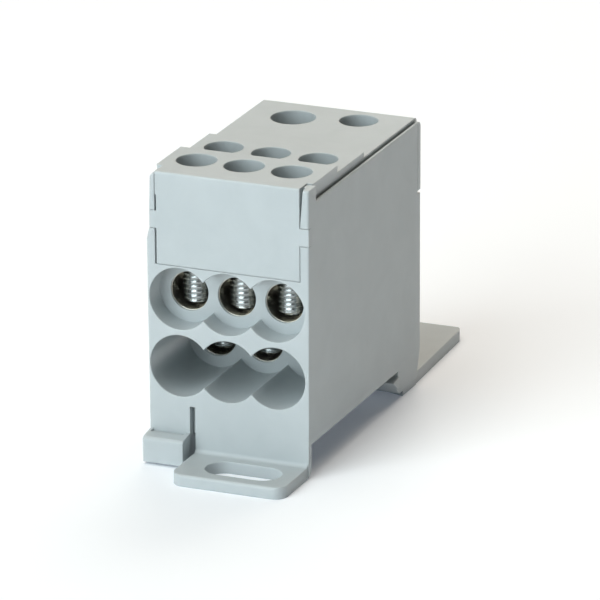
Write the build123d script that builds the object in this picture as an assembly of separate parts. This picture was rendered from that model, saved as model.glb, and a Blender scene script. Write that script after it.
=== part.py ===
"""Single-pole power distribution block for a 35 mm rail or two panel screws.

Millimetres. +Z is up, -Y is the outgoing side, +Y is the incoming side.
The origin is on the mounting plane, midway between the ends of the two feet.

A moulded housing with integral feet, rail hook and flexing rail latch holds one stepped
metal terminal block. A stepped cover clips into the housing and guides the screwdriver
to eight clamp screws: two rows of three for the outgoing wires, and one large and one
small for the incoming wires.
"""

from build123d import *
import os

# Outgoing side, two rows of three wire entries, measured from the front face and the base
column_count = 3
column_pitch = 8.2
recess_radius = 5.2
left_rim = 0.4
right_rim = 0.8
upper_row_height = 27.6
lower_row_height = 16.3
upper_screw_inset = 7.55
lower_screw_inset = 18.45
outgoing_bore_radius = 3.2

# Incoming side, one large and one small wire entry, measured from the rear face
incoming_height = 24.0
large_entry_x = -5.2
large_screw_inset = 7.8
large_bore_radius = 4.5
large_recess_radius = 6.3
small_entry_x = 5.35
small_screw_inset = 5.5
small_bore_radius = 3.3
small_recess_radius = 5.2

# Clamp screws
small_screw_radius = 2.5
large_screw_radius = 3.0
screw_length = 12.0
small_hex_flats = 2.5
large_hex_flats = 3.0
hex_depth = 4.0
screw_tip_taper = 1.3
screw_tip_height = 0.9
thread_clearance = 0.05
tip_gap = 0.1

# Metal terminal block
metal_ahead_of_screw = 0.55
metal_past_screw = 3.0
metal_under_bore = 1.5
metal_over_row = 9.4
block_side_gap = 0.2

# Housing
body_depth = 47.3
side_draft = 0.3
side_wall = 1.5
entry_web = 0.4
web_hole_margin = 0.1
underside = 5.6
wall_over_block = 8.8
wall_lip = 0.4
cover_ledge_drop = 1.2
post_rise = 2.5
post_depth = 3.0
post_cap_bevel = 0.3
left_post_relief = 0.6
left_post_lean = 0.2
left_post_lead_in = 2.3
left_post_round = 1.0
right_post_lead_in = 0.5
front_corner_round = 0.4
rear_corner_round = 0.4
rear_top_round = 1.0
front_skirt_margin = 0.2
rear_skirt_drop = 2.9
rear_skirt_gap = 0.6

# Underside of the housing
pocket_top = 9.6
front_wall = 1.1
latch_flex_room = 2.7
pocket_rear_web = 2.5
pocket_rib = 1.5
latch_stop_depth = 1.5
latch_stop_overlap = 1.3
latch_stop_gap = 0.3

# Feet
foot_thickness = 2.0
front_foot_reach = 10.3
front_foot_left = -5.9
front_foot_right = 13.5
rear_foot_reach = 24.1
rear_foot_half_width = 12.9
rear_foot_end_half_width = 11.85
foot_corner_round = 2.0
foot_edge_round = 0.5
foot_inner_round = 0.7
foot_outer_round = 2.0
foot_slot_length = 12.8
foot_slot_width = 6.0
front_slot_offset = 5.15
rear_slot_offset = 15.5
rear_foot_root = 1.2
slot_x = 4.6

# Rail channel, hook and latch
rail_width = 35.0
rail_flange = 1.0
rail_gap = 0.2
rail_edge_inset = 3.0
hook_overlap = 2.4
hook_nose_drop = 0.4
hook_base_setback = 2.9
hook_relief_share = 0.7
hook_relief_height = 1.0
base_draft_height = 8.8
base_draft_inset = 1.0
latch_width = 7.2
latch_slit = 0.9
latch_bottom = 0.45
latch_tab_reach = 3.1
latch_tab_top = 4.7
latch_tab_rise = 0.4
latch_barb_reach = 1.3
latch_barb_height = 2.6
latch_groove_depth = 1.0
latch_groove_height = 0.45
latch_groove_margin = 0.75

# Top cover
cover_steps = ((0.0, 11.5), (13.2, 10.3), (24.5, 9.4))
cover_gap = 0.1
cover_side_inset = 0.5
cover_side_draft = 0.3
cover_floor = 1.8
cover_edge_round = 0.3
cover_corner_round = 0.4
skirt_thickness = 1.5
skirt_left_gap = 0.3
skirt_right_gap = 0.1
rear_skirt_thickness = 1.2
skirt_seam = 0.08
tab_drop = 6.8
tab_height = 2.9
tab_depth = 1.0
upper_driver_radius = 3.3
lower_driver_radius = 3.18
large_driver_radius = 3.7
small_driver_radius = 3.18
driver_tube_wall = 0.9
driver_tube_gap = 0.2

# Sizes worked out from the ones above
column_span = (column_count - 1) * column_pitch
body_width = column_span + 2 * recess_radius + left_rim + right_rim
half_width = body_width / 2
column_shift = (left_rim - right_rim) / 2
columns = [column_shift + column_pitch * i - column_span / 2 for i in range(column_count)]
inner_half_width = half_width - side_wall

overall_length = front_foot_reach + body_depth + rear_foot_reach
front_y = front_foot_reach - overall_length / 2
rear_y = front_y + body_depth

upper_face_y = front_y + upper_screw_inset - small_screw_radius - metal_ahead_of_screw
lower_face_y = front_y + lower_screw_inset - small_screw_radius - metal_ahead_of_screw
incoming_face_y = rear_y - small_screw_inset + small_screw_radius + metal_ahead_of_screw
block_bottom = lower_row_height - outgoing_bore_radius - metal_under_bore
block_step = (upper_row_height + lower_row_height) / 2
block_top = upper_row_height + metal_over_row

wall_top = block_top + wall_over_block
post_top = wall_top + post_rise
cover_top = block_top + cover_steps[0][1]
cover_ledge = wall_top - cover_ledge_drop
front_skirt_bottom = upper_row_height + recess_radius + front_skirt_margin
rear_skirt_bottom = block_top - rear_skirt_drop
tab_bottom = wall_top - tab_drop
tab_top = tab_bottom + tab_height

rear_flange_y = front_y + rail_edge_inset + rail_width
hook_end_y = rear_flange_y + rail_gap
slot_bottom = underside - rail_flange - rail_gap / 2
latch_left = -half_width
latch_right = latch_left + latch_width


def block(x_range, y_range, z_range):
    """A plain block between two values on each axis."""
    spans = (x_range, y_range, z_range)
    size = [high - low for low, high in spans]
    middle = [(high + low) / 2 for low, high in spans]
    return Pos(*middle) * Box(*size)


def side_extrusion(points, x_range):
    """A profile of (y, z) points, extruded across the body between two x values."""
    face = make_face(Polyline([(0, y, z) for y, z in points], close=True))
    return Pos(x_range[0], 0, 0) * extrude(face, x_range[1] - x_range[0], dir=(1, 0, 0))


def plan_prism(points, corners, radius):
    """An upright prism over (x, y) points, with some corners rounded, to trim a foot to its plan."""
    outline = make_face(Polyline([(x, y, 0) for x, y in points], close=True))
    rounded = [v for v in outline.vertices() if any(is_at(v, points[i]) for i in corners)]
    return extrude(fillet(rounded, radius), wall_top, dir=(0, 0, 1))


def is_at(vertex, point):
    """True where a vertex stands over an (x, y) point."""
    return abs(vertex.X - point[0]) + abs(vertex.Y - point[1]) < 0.001


def bar_along_y(x, z, radius, y_start, y_end):
    """A round bar parallel to Y."""
    middle = (y_start + y_end) / 2
    return Pos(x, middle, z) * Rot(90, 0, 0) * Cylinder(radius, abs(y_end - y_start))


def bar_along_z(x, y, radius, z_start, z_end):
    """A round bar parallel to Z."""
    return Pos(x, y, (z_start + z_end) / 2) * Cylinder(radius, z_end - z_start)


def edges_along(solid, axis, test):
    """The straight edges of a solid that run along an axis and pass a test on their middle."""
    return [edge for edge in solid.edges().filter_by(axis) if test(edge.center())]


def outgoing_entries():
    """Each outgoing entry as (x, height, screw y, metal face y), upper row first."""
    rows = (
        (upper_row_height, front_y + upper_screw_inset, upper_face_y),
        (lower_row_height, front_y + lower_screw_inset, lower_face_y),
    )
    return [(x, *row) for row in rows for x in columns]


def incoming_entries():
    """Each incoming entry as (x, bore radius, recess radius, screw radius, screw y)."""
    large_screw_y = rear_y - large_screw_inset
    small_screw_y = rear_y - small_screw_inset
    return [
        (large_entry_x, large_bore_radius, large_recess_radius, large_screw_radius, large_screw_y),
        (small_entry_x, small_bore_radius, small_recess_radius, small_screw_radius, small_screw_y),
    ]


def leaning_sides(top_half_width, draft, foot_z):
    """The space up to the cover's top between two side faces that lean in towards the base."""
    foot = top_half_width - draft
    section = [(-top_half_width, cover_top), (top_half_width, cover_top), (foot, foot_z), (-foot, foot_z)]
    face = make_face(Polyline([(x, front_y - front_foot_reach, z) for x, z in section], close=True))
    return extrude(face, overall_length, dir=(0, 1, 0))


def side_envelope():
    """The space between the housing's two side faces."""
    return leaning_sides(half_width, side_draft, 0)


def body_blank():
    """The housing's outside: one side profile with the rail channel and hook, full width."""
    nose_z = slot_bottom - hook_nose_drop
    profile = [
        (front_y, underside),
        (front_y, post_top - post_cap_bevel),
        (front_y + post_cap_bevel, post_top),
        (front_y + post_depth, post_top),
        (front_y + post_depth, wall_top),
        (rear_y, wall_top),
        (rear_y, 0),
        (hook_end_y + hook_base_setback, 0),
        (hook_end_y - hook_overlap, nose_z),
        (hook_end_y, slot_bottom),
        (hook_end_y, underside),
    ]
    blank = side_extrusion(profile, (-half_width, half_width))
    front_corners = edges_along(blank, Axis.Z, lambda c: abs(c.Y - front_y) < 0.01)
    blank = fillet(front_corners, front_corner_round)
    rear_corners = edges_along(blank, Axis.Z, lambda c: abs(c.Y - rear_y) < 0.01)
    return fillet(rear_corners, rear_corner_round)


def base_draft():
    """Wedges that lean the sides of the rear base further inwards towards the mounting plane."""
    triangle = [(half_width, base_draft_height), (half_width, 0), (half_width - base_draft_inset, 0)]
    face = make_face(Polyline([(x, hook_end_y, z) for x, z in triangle], close=True))
    wedge = extrude(face, rear_y - hook_end_y, dir=(0, 1, 0))
    return wedge + mirror(wedge, about=Plane.YZ)


def hook_relief():
    """A shallow hollow under the hook, deepest in the middle of the base's front edge."""
    edge_y = hook_end_y + hook_base_setback
    deepest = edge_y + hook_relief_share * (rear_y - edge_y)
    corners = [(-half_width, edge_y), (0, deepest), (half_width, edge_y)]
    corners += [(half_width, hook_end_y), (-half_width, hook_end_y)]
    outline = make_face(Polyline([(x, y, 0) for x, y in corners], close=True))
    return extrude(outline, hook_relief_height, dir=(0, 0, 1))


def left_post_trim():
    """What the left post loses outside: a lead-in up to the tab, then a lean with a rounded top."""
    outer = left_post_relief - half_width
    foot_z = tab_bottom - left_post_lead_in
    top_corner = (outer + left_post_lean, post_top)
    kept = [(-half_width, foot_z), (outer, tab_bottom), (outer, tab_top), top_corner]
    kept += [(0, post_top), (0, foot_z)]
    outline = make_face(Polyline([(x, front_y, z) for x, z in kept], close=True))
    corner = [v for v in outline.vertices() if abs(v.X - top_corner[0]) + abs(v.Z - top_corner[1]) < 0.001]
    post = extrude(fillet(corner, left_post_round), post_depth, dir=(0, 1, 0))
    return block((-half_width, 0), (front_y, front_y + post_depth), (foot_z, post_top)) - post


def right_post_trim():
    """The wedge that leans the right post's inner face away from the cover's front skirt."""
    wedge = [(inner_half_width, tab_top), (inner_half_width, post_top),
             (inner_half_width + right_post_lead_in, post_top)]
    face = make_face(Polyline([(x, front_y, z) for x, z in wedge], close=True))
    return extrude(face, skirt_thickness, dir=(0, 1, 0))


def rear_top_trim():
    """What rounds off the rear top edge of the side walls and of the cover's rear skirt."""
    axis_y = rear_y - rear_top_round
    axis_z = wall_top - rear_top_round
    corner = block((-half_width, half_width), (axis_y, rear_y), (axis_z, wall_top))
    return corner - Pos(0, axis_y, axis_z) * Rot(0, 90, 0) * Cylinder(rear_top_round, body_width)


def block_cavity():
    """The stepped space that the terminal block drops into, open to the top."""
    profile = [
        (upper_face_y, block_step),
        (upper_face_y, post_top),
        (incoming_face_y + block_side_gap, post_top),
        (incoming_face_y + block_side_gap, block_bottom),
        (lower_face_y, block_bottom),
        (lower_face_y, block_step),
    ]
    return side_extrusion(profile, (-inner_half_width, inner_half_width))


def cover_seat():
    """What the cover takes out of the top: its rim's ledge and the two openings for its skirts."""
    rim = half_width - wall_lip
    ledge = block((-rim, rim), (front_y + post_depth, rear_y), (cover_ledge, wall_top))
    between_posts = block((-inner_half_width, inner_half_width), (front_y, front_y + post_depth),
                          (front_skirt_bottom, post_top))
    front_opening = block((-inner_half_width, inner_half_width), (front_y, upper_face_y),
                          (front_skirt_bottom, post_top))
    tab_notch = block((-half_width, half_width), (front_y, front_y + tab_depth + skirt_seam),
                      (tab_bottom - skirt_seam, tab_top + skirt_seam))
    rear_edge = rear_skirt_bottom - rear_skirt_gap
    rear_opening = block((-half_width, half_width), (rear_y - rear_skirt_thickness - cover_gap, rear_y),
                         (rear_edge, post_top))
    rear_wall_top = block((-inner_half_width, inner_half_width), (incoming_face_y, rear_y),
                          (rear_edge, post_top))
    return ledge + between_posts + front_opening + tab_notch + rear_opening + rear_wall_top


def wire_recesses():
    """The round finger-safe recesses: a floor web with a hole on the outgoing side, open on the other."""
    cuts = []
    for x, height, _, face_y in outgoing_entries():
        cuts.append(bar_along_y(x, height, recess_radius, front_y, face_y - entry_web))
        web_hole = outgoing_bore_radius + web_hole_margin
        cuts.append(bar_along_y(x, height, web_hole, face_y - entry_web, face_y))
    for x, _, radius, _, _ in incoming_entries():
        cuts.append(bar_along_y(x, incoming_height, radius, incoming_face_y, rear_y))
    return cuts


def underside_pockets():
    """Cored pockets between ribs under the housing: one behind the latch tongue, then three bays."""
    flex_front = front_y + front_wall
    flex_rear = flex_front + latch_flex_room
    flex_room = block((-inner_half_width, latch_right + latch_slit), (flex_front, flex_rear),
                      (underside, pocket_top))
    bay_width = (2 * inner_half_width - 2 * pocket_rib) / 3
    bay_front = flex_rear + pocket_rib
    bay_rear = hook_end_y - hook_overlap - pocket_rear_web
    pockets = [flex_room]
    for i in range(3):
        left = -inner_half_width + i * (bay_width + pocket_rib)
        pockets.append(block((left, left + bay_width), (bay_front, bay_rear), (underside, pocket_top)))
    return pockets


def foot_slot(x, y):
    """An oblong screw slot through a foot, lengthwise along X."""
    slot = SlotOverall(foot_slot_length, foot_slot_width)
    return Pos(x, y, 0) * extrude(slot, foot_thickness, dir=(0, 0, 1))


def rounded_profile(points, rounds, x_range):
    """A side profile of (y, z) points with a radius at some of them, extruded across the body."""
    face = make_face(Polyline([(0, y, z) for y, z in points], close=True))
    for i, radius in rounds:
        y, z = points[i]
        corner = [v for v in face.vertices() if abs(v.Y - y) + abs(v.Z - z) < 0.001]
        face = fillet(corner, radius)
    return Pos(x_range[0], 0, 0) * extrude(face, x_range[1] - x_range[0], dir=(1, 0, 0))


def front_foot():
    """The front foot with the wall that joins it to the body, bent like a bracket."""
    wall_back = front_y + front_wall
    end_y = front_y - front_foot_reach
    profile = [
        (end_y, 0),
        (end_y, foot_thickness),
        (front_y, foot_thickness),
        (front_y, pocket_top),
        (wall_back, pocket_top),
        (wall_back, 0),
    ]
    rounds = ((1, foot_edge_round), (2, foot_inner_round), (5, foot_outer_round))
    bracket = rounded_profile(profile, rounds, (front_foot_left, half_width))
    plan = [
        (front_foot_left, wall_back),
        (front_foot_left, end_y),
        (front_foot_right, end_y),
        (front_foot_right, front_y),
        (half_width, front_y),
        (half_width, wall_back),
    ]
    bracket = bracket & plan_prism(plan, (1, 2), foot_corner_round)
    return bracket - foot_slot(slot_x, front_y - front_slot_offset)


def rear_foot():
    """The long rear foot, tapering a little towards its rounded end."""
    root_y = rear_y - rear_foot_root
    end_y = rear_y + rear_foot_reach
    profile = [(root_y, 0), (root_y, foot_thickness), (end_y, foot_thickness), (end_y, 0)]
    plate = rounded_profile(profile, ((2, foot_edge_round),), (-half_width, half_width))
    plan = [
        (-rear_foot_half_width, root_y),
        (rear_foot_half_width, root_y),
        (rear_foot_end_half_width, end_y),
        (-rear_foot_end_half_width, end_y),
    ]
    plate = plate & plan_prism(plan, (2, 3), foot_corner_round)
    return plate - foot_slot(-slot_x, rear_y + rear_slot_offset)


def latch_tongue():
    """The rail latch: a thin wall tongue with a barb behind it and a release tab in front."""
    back = front_y + front_wall
    barb_tip = front_y + rail_edge_inset + latch_barb_reach
    barb_top = slot_bottom
    tab_front = front_y - latch_tab_reach
    profile = [
        (front_y, pocket_top),
        (front_y, latch_tab_top + latch_tab_rise),
        (tab_front + latch_tab_rise, latch_tab_top),
        (tab_front, latch_tab_top - latch_tab_rise),
        (tab_front, latch_bottom),
        (back, latch_bottom),
        (barb_tip, barb_top - latch_barb_height),
        (barb_tip, barb_top),
        (back, barb_top),
        (back, pocket_top),
    ]
    tongue = side_extrusion(profile, (latch_left, latch_right))
    groove = block((latch_left + latch_groove_margin, latch_right - latch_groove_margin),
                   (front_y - latch_groove_depth, front_y),
                   (latch_tab_top, latch_tab_top + latch_groove_height))
    return tongue - groove


def latch_stop():
    """A rib that hangs behind the slit and keeps the tongue from being pushed in too far."""
    rib_left = latch_right - latch_stop_overlap
    rib_front = front_y + front_wall + latch_stop_gap
    return block((rib_left, latch_right + latch_slit), (rib_front, rib_front + latch_stop_depth),
                 (slot_bottom + rail_gap, pocket_top))


def latch_slits():
    """The slit beside the tongue and the notch that frees it from the side wall."""
    slit = block((latch_right, latch_right + latch_slit), (front_y - front_foot_reach, front_y + front_wall),
                 (0, pocket_top))
    notch = block((-half_width, -inner_half_width), (front_y + front_wall, front_y + front_wall + latch_slit),
                  (underside, pocket_top))
    return slit + notch


def make_housing():
    """The moulded housing with its feet, rail hook and latch, all one piece."""
    housing = (body_blank() + front_foot() + latch_tongue()) & side_envelope()
    housing = housing - base_draft() - hook_relief() + rear_foot()
    housing = housing - latch_slits() - block_cavity() - cover_seat()
    housing = housing - left_post_trim() - right_post_trim() - rear_top_trim()
    for cut in wire_recesses() + underside_pockets():
        housing = housing - cut
    return housing + latch_stop()


def make_terminal_block():
    """The stepped metal bar with six outgoing bores, two incoming bores and eight tapped holes."""
    profile = [
        (upper_face_y, block_step),
        (upper_face_y, block_top),
        (incoming_face_y, block_top),
        (incoming_face_y, block_bottom),
        (lower_face_y, block_bottom),
        (lower_face_y, block_step),
    ]
    half_block = inner_half_width - block_side_gap
    bar = side_extrusion(profile, (-half_block, half_block))
    for x, height, screw_y, face_y in outgoing_entries():
        bar = bar - bar_along_y(x, height, outgoing_bore_radius, face_y, screw_y + metal_past_screw)
        bar = bar - bar_along_z(x, screw_y, small_screw_radius + thread_clearance, height, block_top)
    for x, bore_radius, _, screw_radius, screw_y in incoming_entries():
        bore_end = screw_y - screw_radius - metal_past_screw
        bar = bar - bar_along_y(x, incoming_height, bore_radius, bore_end, incoming_face_y)
        bar = bar - bar_along_z(x, screw_y, screw_radius + thread_clearance, incoming_height, block_top)
    return bar


def cover_spans():
    """Each step of the cover as (start y, end y, top height), front to rear."""
    starts = [front_y + start for start, _ in cover_steps]
    ends = starts[1:] + [rear_y]
    return [(start, end, block_top + rise) for start, end, (_, rise) in zip(starts, ends, cover_steps)]


def make_cover():
    """The stepped snap-in cover: hollow top plate, front and rear skirts, and driver guide tubes."""
    profile = [(front_y, cover_ledge)]
    for start, end, top in cover_spans():
        profile += [(start, top), (end, top)]
    profile.append((rear_y, cover_ledge))
    rounds = ((1, cover_edge_round), (2, cover_edge_round), (4, cover_edge_round), (6, rear_top_round))
    rim = half_width - cover_side_inset
    cover = rounded_profile(profile, rounds, (-rim, rim)) & leaning_sides(rim, cover_side_draft, cover_ledge)
    post_rear = front_y + post_depth + cover_gap
    for side in (-1, 1):
        x_range = sorted((side * (inner_half_width - cover_gap), side * half_width))
        cover = cover - block(x_range, (front_y, post_rear), (0, cover_top))
    corners = [edge for edge in cover.edges() if stands_at_corner(edge, post_rear)]
    cover = fillet(corners, cover_corner_round)
    cover = cover - cover_hollows() + driver_tubes() + (front_skirt() + rear_skirt() & side_envelope())
    for x, y, radius, _ in driver_holes():
        cover = cover - bar_along_z(x, y, radius, block_top, cover_top)
    return cover


def stands_at_corner(edge, y):
    """True for an upright edge of the cover, outside the skirts, at one y."""
    middle = edge.center()
    return edge.length > cover_floor and abs(middle.Y - y) < 0.01 and abs(middle.X) > inner_half_width


def cover_hollows():
    """The space under each raised step, inside the rim, that keeps the top plate one thickness."""
    half = inner_half_width - cover_gap - cover_floor
    hollows = Part()
    for start, end, top in cover_spans():
        ceiling = top - cover_floor
        if ceiling - cover_ledge > cover_gap:
            first = max(start, front_y + skirt_thickness)
            hollows = hollows + block((-half, half), (first, end - cover_floor), (cover_ledge, ceiling))
    return hollows


def driver_holes():
    """Each driver hole as (x, y, radius, height of what its tube stops above), outgoing rows first."""
    holes = [(x, front_y + upper_screw_inset, upper_driver_radius, block_top) for x in columns]
    holes += [(x, front_y + lower_screw_inset, lower_driver_radius, block_top) for x in columns]
    radii = (large_driver_radius, small_driver_radius)
    for radius, (x, bore_radius, _, _, screw_y) in zip(radii, incoming_entries()):
        holes.append((x, screw_y, radius, open_tip_height(bore_radius) + screw_length))
    return holes


def driver_tubes():
    """The guide tubes that hang from the cover and stop just above the metal or a raised screw."""
    tubes = Part()
    for x, y, radius, below in driver_holes():
        step_tops = [top for first, end, top in cover_spans() if first < y < end]
        outer = radius + driver_tube_wall
        tubes = tubes + bar_along_z(x, y, outer, below + driver_tube_gap, step_tops[0] - cover_floor / 2)
    room = inner_half_width - cover_gap
    return tubes & block((-room, room), (front_y, rear_y - rear_skirt_thickness), (block_top, cover_top))


def front_skirt():
    """The flat front panel between the posts, with a locking tab at each side."""
    left = -inner_half_width + skirt_left_gap
    right = inner_half_width - skirt_right_gap
    top = cover_top - cover_edge_round
    panel = block((left, right), (front_y, front_y + skirt_thickness), (front_skirt_bottom + skirt_seam, top))
    tabs = block((left_post_relief - half_width, half_width), (front_y, front_y + tab_depth),
                 (tab_bottom, tab_top))
    return panel + tabs


def rear_skirt():
    """The rear panel, as wide as the housing."""
    panel = block((-half_width, half_width), (rear_y - rear_skirt_thickness, rear_y),
                  (rear_skirt_bottom, wall_top))
    return panel - rear_top_trim()


def clamp_screw(radius, flats):
    """A headless clamp screw standing on the origin: tapered tip below, hex socket above."""
    outline = Polyline([
        (0, 0),
        (radius - screw_tip_taper, 0),
        (radius, screw_tip_height),
        (radius, screw_length),
        (0, screw_length),
    ], close=True)
    body = revolve(make_face(Plane.XZ * outline), Axis.Z)
    socket = extrude(RegularPolygon(flats / 2, 6, major_radius=False), hex_depth, dir=(0, 0, 1))
    return body - Pos(0, 0, screw_length - hex_depth) * socket


def closed_tip_height(bore_height, bore_radius, screw_radius):
    """Where the tip of a fully closed screw stands, just clear of the round bore floor."""
    tip = screw_radius - screw_tip_taper
    return bore_height - (bore_radius ** 2 - tip ** 2) ** 0.5 + tip_gap


def open_tip_height(bore_radius):
    """Where the tip of a fully open incoming screw stands, just clear of its bore."""
    return incoming_height + bore_radius + tip_gap


def make_screws():
    """All clamp screws by node name: the outgoing ones closed, the incoming ones open."""
    screws = {}
    for i, (x, height, screw_y, _) in enumerate(outgoing_entries()):
        tip = closed_tip_height(height, outgoing_bore_radius, small_screw_radius)
        screw = clamp_screw(small_screw_radius, small_hex_flats)
        screws[f"outgoing_screw_{i + 1}"] = Pos(x, screw_y, tip) * screw
    names = ("incoming_screw_large", "incoming_screw_small")
    flats = (large_hex_flats, small_hex_flats)
    for name, hex_flats, (x, bore_radius, _, screw_radius, screw_y) in zip(names, flats, incoming_entries()):
        screws[name] = Pos(x, screw_y, open_tip_height(bore_radius)) * clamp_screw(screw_radius, hex_flats)
    return screws


parts = {
    "housing": make_housing(),
    "top_cover": make_cover(),
    "terminal_block": make_terminal_block(),
    **make_screws(),
}

os.makedirs("parts", exist_ok=True)
for name, shape in parts.items():
    export_step(shape, f"parts/{name}.step")
    print(name, round(shape.volume, 1))
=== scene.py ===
"""The looks of a single-pole power distribution block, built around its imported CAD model."""

import math

import bmesh
import bpy
from mathutils import Matrix, Vector


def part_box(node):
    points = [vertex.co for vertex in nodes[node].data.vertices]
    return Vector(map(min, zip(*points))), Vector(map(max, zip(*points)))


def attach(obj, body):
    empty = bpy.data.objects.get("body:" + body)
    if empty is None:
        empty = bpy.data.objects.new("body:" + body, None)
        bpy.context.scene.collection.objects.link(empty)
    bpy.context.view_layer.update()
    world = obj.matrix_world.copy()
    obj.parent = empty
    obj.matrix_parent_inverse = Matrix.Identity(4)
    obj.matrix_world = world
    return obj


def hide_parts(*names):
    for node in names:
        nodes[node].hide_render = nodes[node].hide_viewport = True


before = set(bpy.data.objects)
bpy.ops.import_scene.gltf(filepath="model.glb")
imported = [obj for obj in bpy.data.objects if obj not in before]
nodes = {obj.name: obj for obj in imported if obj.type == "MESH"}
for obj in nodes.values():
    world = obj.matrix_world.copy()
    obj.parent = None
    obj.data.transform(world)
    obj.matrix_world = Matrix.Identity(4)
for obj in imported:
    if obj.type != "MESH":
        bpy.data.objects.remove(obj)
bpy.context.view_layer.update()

MM = 0.001

# Camera, fitted to the photograph: angles in degrees, distance in metres, lens in mm
CAMERA_AZIMUTH = 22.871
CAMERA_ELEVATION = 19.288
CAMERA_ROLL = 0.4534
CAMERA_DISTANCE = 1.1589
CAMERA_LENS = 432.71
CAMERA_SENSOR = 36.0
CAMERA_CLIP = (0.05, 50.0)
CAMERA_AIM = Vector((4.076, -10.814, 22.598)) * MM

# Soft boxes: name, place, aim, size of a side, power in watts, colour
LIGHTS = (
    ("key", (-0.4, -1.1, 0.37), (0, 0, 0.02), 0.95, 13.5, (0.85, 0.95, 0.985)),
    ("steep", (-0.2, -0.6, 1.05), (0, 0, 0.02), 0.8, 5.8, (0.9, 0.965, 0.985)),
    ("top", (-0.08, 0.1, 0.95), (0, 0, 0), 0.9, 3.6, (1.0, 0.87, 0.71)),
    ("rear", (-0.05, 0.85, 0.7), (0, 0, 0.02), 0.8, 5.3, (1.0, 0.94, 0.86)),
)
SURROUND_COLOUR = (1.0, 0.98, 0.96, 1.0)
SURROUND_STRENGTH = 0.03

# Floor: half its side in metres, its two tints and its faint glow
FLOOR_HALF = 6.0
FLOOR_TINTS = ((0.93, 0.95, 0.975), (0.94, 0.96, 0.985))
FLOOR_GLOW_COLOUR = (0.78, 0.86, 1.0, 1.0)
FLOOR_GLOW = 0.09

# Plastic: its tints, roughness and scatter; depths and edge in metres, scales in cells per metre
PLASTIC_TINTS = ((0.435, 0.475, 0.485), (0.465, 0.505, 0.515))
PLASTIC_ROUGHNESS = (0.4, 0.52)
SCATTER_WEIGHT = 0.4
SCATTER_TINT = (1.0, 0.95, 0.95)
SCATTER_DEPTH = 0.0015
MOULDED_EDGE = 0.00022
RIPPLE_DEPTH = 0.00012
GRAIN_DEPTH = 0.00003
MOTTLE_SCALE = 140.0
RIPPLE_SCALE = 320.0
SHEEN_SCALE = 420.0
GRAIN_SCALE = 5200.0

# Metals: two tints and the roughness of each; the shared marks and clouds
TIN_TINTS = ((0.6, 0.565, 0.49), (0.72, 0.685, 0.61))
TIN_ROUGHNESS = (0.2, 0.26)
TIN_EDGE = 0.0001
ZINC_TINTS = ((0.54, 0.56, 0.56), (0.64, 0.66, 0.66))
ZINC_ROUGHNESS = (0.19, 0.25)
CLOUD_SCALE = 500.0
UNEVEN_SCALE = 900.0
MARKS_SCALE = 1500.0
MARKS_DEPTH = 0.00001

# Clamp screws: thread radius, pitch, socket size across flats, all in mm
SMALL_SCREW = {"radius": 2.5, "pitch": 0.8, "flats": 2.5}
LARGE_SCREW = {"radius": 3.0, "pitch": 1.0, "flats": 3.0}
SCREW_LENGTH = 12.0
SOCKET_DEPTH = 4.0
SOCKET_RIM = 0.18
SOCKET_CONE = 0.5
TIP_TAPER = 1.3
TIP_HEIGHT = 0.9
TOP_CHAMFER = 0.45

# Thread: its depth, and the shares of half a pitch that its root and its flank take up
THREAD_DEPTH_PER_PITCH = 0.58
ROOT_SHARE = 0.08
FLANK_SHARE = 0.82

# Screw mesh: columns round it, rows to a pitch, the angle from which an edge is sharp
SEGMENTS = 48
ROWS_PER_PITCH = 12
SHARP_EDGE = math.radians(38)

# How far each screw is turned for each unit of its name's sum of letters, in radians
TURN_PER_UNIT = 0.7


def node_setup(name):
    """A new material and its node tree, links and shader."""
    material = bpy.data.materials.new(name)
    material.use_nodes = True
    tree = material.node_tree
    shader = tree.nodes["Principled BSDF"]
    return material, tree, shader


def noise(tree, scale, detail=4.0, roughness=0.5, distortion=0.0):
    """Noise in the object's own coordinates; scale is in cells per metre."""
    coordinates = tree.nodes.new("ShaderNodeTexCoord")
    texture = tree.nodes.new("ShaderNodeTexNoise")
    texture.inputs["Scale"].default_value = scale
    texture.inputs["Detail"].default_value = detail
    texture.inputs["Roughness"].default_value = roughness
    texture.inputs["Distortion"].default_value = distortion
    tree.links.new(coordinates.outputs["Object"], texture.inputs["Vector"])
    return texture.outputs["Fac"]


def ramp(tree, factor, stops):
    """A colour ramp over a factor; stops are (position, (r, g, b))."""
    node = tree.nodes.new("ShaderNodeValToRGB")
    elements = node.color_ramp.elements
    while len(elements) < len(stops):
        elements.new(0.5)
    for element, (position, colour) in zip(elements, stops):
        element.position = position
        element.color = (*colour, 1.0)
    tree.links.new(factor, node.inputs["Fac"])
    return node.outputs["Color"]


def map_range(tree, value, low, high):
    """A 0 to 1 factor mapped between two values."""
    node = tree.nodes.new("ShaderNodeMapRange")
    node.inputs["To Min"].default_value = low
    node.inputs["To Max"].default_value = high
    tree.links.new(value, node.inputs["Value"])
    return node.outputs["Result"]


def bump(tree, height, strength, distance, normal=None):
    """A bump from a height, on top of another normal if one is given."""
    node = tree.nodes.new("ShaderNodeBump")
    node.inputs["Strength"].default_value = strength
    node.inputs["Distance"].default_value = distance
    tree.links.new(height, node.inputs["Height"])
    if normal is not None:
        tree.links.new(normal, node.inputs["Normal"])
    return node.outputs["Normal"]


def soft_edges(tree, radius):
    """Normals that round off edges by a radius in metres."""
    node = tree.nodes.new("ShaderNodeBevel")
    node.samples = 6
    node.inputs["Radius"].default_value = radius
    return node.outputs["Normal"]


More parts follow.
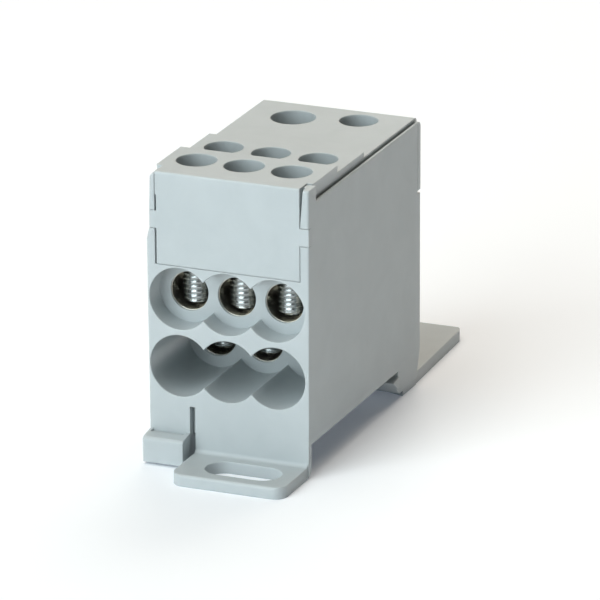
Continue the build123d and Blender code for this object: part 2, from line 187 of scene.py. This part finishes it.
def plastic(name, tints):
    """Moulded polyamide: faint mottling, fine spark-eroded texture, soft edges, some scatter."""
    material, tree, shader = node_setup(name)
    mottle = noise(tree, MOTTLE_SCALE, detail=5.0, roughness=0.6, distortion=0.6)
    colour = ramp(tree, mottle, ((0.3, tints[0]), (0.7, tints[1])))
    tree.links.new(colour, shader.inputs["Base Color"])
    sheen_patches = noise(tree, SHEEN_SCALE, detail=3.0)
    tree.links.new(map_range(tree, sheen_patches, *PLASTIC_ROUGHNESS), shader.inputs["Roughness"])
    grain = noise(tree, GRAIN_SCALE, detail=3.0, roughness=0.65)
    ripple = noise(tree, RIPPLE_SCALE, detail=2.0)
    normal = soft_edges(tree, MOULDED_EDGE)
    normal = bump(tree, ripple, 0.05, RIPPLE_DEPTH, normal)
    normal = bump(tree, grain, 0.16, GRAIN_DEPTH, normal)
    tree.links.new(normal, shader.inputs["Normal"])
    shader.inputs["Subsurface Weight"].default_value = SCATTER_WEIGHT
    shader.inputs["Subsurface Radius"].default_value = SCATTER_TINT
    shader.inputs["Subsurface Scale"].default_value = SCATTER_DEPTH
    return material


def plated_metal(name, tints, roughness, edge_radius=None):
    """Plated metal: slightly uneven, fine machining marks, soft edges if a radius is given."""
    material, tree, shader = node_setup(name)
    shader.inputs["Metallic"].default_value = 1.0
    cloud = noise(tree, CLOUD_SCALE, detail=4.0, roughness=0.6)
    colour = ramp(tree, cloud, ((0.3, tints[0]), (0.7, tints[1])))
    tree.links.new(colour, shader.inputs["Base Color"])
    uneven = noise(tree, UNEVEN_SCALE, detail=3.0)
    tree.links.new(map_range(tree, uneven, *roughness), shader.inputs["Roughness"])
    marks = noise(tree, MARKS_SCALE, detail=2.0, roughness=0.5)
    edges = soft_edges(tree, edge_radius) if edge_radius else None
    normal = bump(tree, marks, 0.03, MARKS_DEPTH, edges)
    tree.links.new(normal, shader.inputs["Normal"])
    return material


def assign(obj, material):
    """Gives an object one material in all its slots."""
    if not obj.data.materials:
        obj.data.materials.append(material)
    for slot in obj.material_slots:
        slot.material = material


def thread_radius(screw, angle, height):
    """The radius at an angle and height: a V thread, cut off by the bevels of tip and top."""
    radius, pitch = screw["radius"], screw["pitch"]
    phase = (height / pitch - angle / (2 * math.pi)) % 1.0
    ridge = abs(2 * phase - 1)
    crest = min(1.0, max(0.0, (ridge - ROOT_SHARE) / FLANK_SHARE))
    threaded = radius - THREAD_DEPTH_PER_PITCH * pitch * (1 - crest)
    at_tip = radius - TIP_TAPER * (1 - height / TIP_HEIGHT)
    at_top = radius - TOP_CHAMFER + (SCREW_LENGTH - height)
    return min(threaded, at_tip, at_top)


def socket_radius(screw, angle):
    """The distance from the axis to the wall of the hexagon socket."""
    sector = (angle + math.pi / 6) % (math.pi / 3) - math.pi / 6
    return screw["flats"] / 2 / math.cos(sector)


def point(angle, radius, height):
    """A place round the screw's axis, from mm to metres."""
    return Vector((radius * math.cos(angle), radius * math.sin(angle), height)) * MM


def thread_levels(screw):
    """Heights of the mesh rows at angle zero; each climbs one pitch per turn, as the thread does."""
    step = screw["pitch"] / ROWS_PER_PITCH
    count = round((SCREW_LENGTH + screw["pitch"]) / step)
    return [step * (k - ROWS_PER_PITCH) for k in range(count + 1)]


def stitch(bm, left, right):
    """Triangles between two columns of vertices, taking the lower next vertex each time."""
    i = k = 0
    while i < len(left) - 1 or k < len(right) - 1:
        up_left = left[i + 1].co.z if i < len(left) - 1 else math.inf
        up_right = right[k + 1].co.z if k < len(right) - 1 else math.inf
        if up_left < up_right:
            bm.faces.new((left[i], right[k], left[i + 1]))
            i += 1
        else:
            bm.faces.new((left[i], right[k], right[k + 1]))
            k += 1


def screw_mesh(name, screw):
    """A headless socket screw standing on its tip, in metres."""
    bm = bmesh.new()
    angles = [2 * math.pi * i / SEGMENTS for i in range(SEGMENTS)]
    levels = thread_levels(screw)
    columns = []
    for i, a in enumerate(angles):
        climb = screw["pitch"] * i / SEGMENTS
        heights = sorted({round(min(SCREW_LENGTH, max(0.0, h + climb)), 4) for h in levels})
        columns.append([bm.verts.new(point(a, thread_radius(screw, a, h), h)) for h in heights])
    for i in range(SEGMENTS):
        stitch(bm, columns[i], columns[(i + 1) % SEGMENTS])
    rim = [socket_radius(screw, a) for a in angles]
    rings = [[column[-1] for column in columns]]
    socket = ((SOCKET_RIM, 0.0), (0.0, SOCKET_RIM), (0.0, SOCKET_DEPTH))
    for widening, depth in socket:
        height = SCREW_LENGTH - depth
        rings.append([bm.verts.new(point(a, r + widening, height)) for a, r in zip(angles, rim)])
    for low, high in zip(rings, rings[1:]):
        for i in range(SEGMENTS):
            k = (i + 1) % SEGMENTS
            bm.faces.new((low[i], low[k], high[k], high[i]))
    bm.faces.new([column[0] for column in reversed(columns)])
    bottom = bm.verts.new(point(0.0, 0.0, SCREW_LENGTH - SOCKET_DEPTH - SOCKET_CONE))
    for i in range(SEGMENTS):
        bm.faces.new((rings[-1][i], rings[-1][(i + 1) % SEGMENTS], bottom))
    bmesh.ops.recalc_face_normals(bm, faces=bm.faces)
    for face in bm.faces:
        face.smooth = True
    for edge in bm.edges:
        edge.smooth = edge.calc_face_angle(0.0) < SHARP_EDGE
    mesh = bpy.data.meshes.new(name)
    bm.to_mesh(mesh)
    bm.free()
    return mesh


def add_screw(node_name, screw, material):
    """A threaded screw in the place of its plain CAD node."""
    low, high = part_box(node_name)
    piece = bpy.data.objects.new(node_name + "_threaded", screw_mesh(node_name + "_mesh", screw))
    bpy.context.scene.collection.objects.link(piece)
    piece.location = ((low.x + high.x) / 2, (low.y + high.y) / 2, low.z)
    piece.rotation_euler = (0, 0, sum(ord(c) for c in node_name) * TURN_PER_UNIT)
    assign(piece, material)
    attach(piece, node_name)
    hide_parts(node_name)


def area_light(name, location, target, size, power, colour):
    """A square soft box aimed at a point."""
    data = bpy.data.lights.new(name, "AREA")
    data.shape = "SQUARE"
    data.size = size
    data.energy = power
    data.color = colour
    lamp = bpy.data.objects.new(name, data)
    bpy.context.scene.collection.objects.link(lamp)
    lamp.location = location
    direction = Vector(target) - Vector(location)
    lamp.rotation_euler = direction.to_track_quat("-Z", "Y").to_euler()


def make_floor():
    """A wide pale floor on the mounting plane."""
    mesh = bpy.data.meshes.new("floor_mesh")
    half = FLOOR_HALF
    corners = [(-half, -half, 0), (half, -half, 0), (half, half, 0), (-half, half, 0)]
    mesh.from_pydata(corners, [], [(0, 1, 2, 3)])
    floor = bpy.data.objects.new("floor", mesh)
    bpy.context.scene.collection.objects.link(floor)
    material, tree, shader = node_setup("pale_floor")
    tint = noise(tree, 3.0)
    colour = ramp(tree, tint, ((0.0, FLOOR_TINTS[0]), (1.0, FLOOR_TINTS[1])))
    tree.links.new(colour, shader.inputs["Base Color"])
    shader.inputs["Roughness"].default_value = 0.9
    shader.inputs["Emission Color"].default_value = FLOOR_GLOW_COLOUR
    shader.inputs["Emission Strength"].default_value = FLOOR_GLOW
    assign(floor, material)


def make_camera():
    """The camera at the photograph's viewing angle."""
    azimuth, elevation = math.radians(CAMERA_AZIMUTH), math.radians(CAMERA_ELEVATION)
    back = Vector((math.sin(azimuth) * math.cos(elevation),
                   -math.cos(azimuth) * math.cos(elevation), math.sin(elevation)))
    data = bpy.data.cameras.new("camera")
    data.sensor_width = CAMERA_SENSOR
    data.lens = CAMERA_LENS
    data.clip_start, data.clip_end = CAMERA_CLIP
    camera = bpy.data.objects.new("camera", data)
    bpy.context.scene.collection.objects.link(camera)
    camera.location = CAMERA_AIM + back * CAMERA_DISTANCE
    look = (-back).to_track_quat("-Z", "Y").to_matrix()
    roll = Matrix.Rotation(math.radians(-CAMERA_ROLL), 3, "Z")
    camera.rotation_euler = (look @ roll).to_euler()
    bpy.context.scene.camera = camera


def make_lights():
    """Soft studio light: cool from the front, warm from above and behind, a faint surround."""
    for light in LIGHTS:
        area_light(*light)
    world = bpy.data.worlds.new("surround")
    world.use_nodes = True
    background = world.node_tree.nodes["Background"]
    background.inputs["Color"].default_value = SURROUND_COLOUR
    background.inputs["Strength"].default_value = SURROUND_STRENGTH
    bpy.context.scene.world = world
    bpy.context.scene.view_settings.view_transform = "Standard"


grey = plastic("grey_polyamide", PLASTIC_TINTS)
tinned = plated_metal("tinned_metal", TIN_TINTS, TIN_ROUGHNESS, TIN_EDGE)
zinc = plated_metal("zinc_steel", ZINC_TINTS, ZINC_ROUGHNESS)

assign(nodes["housing"], grey)
assign(nodes["top_cover"], grey)
assign(nodes["terminal_block"], tinned)
for i in range(6):
    add_screw(f"outgoing_screw_{i + 1}", SMALL_SCREW, zinc)
add_screw("incoming_screw_small", SMALL_SCREW, zinc)
add_screw("incoming_screw_large", LARGE_SCREW, zinc)

make_floor()
make_lights()
make_camera()
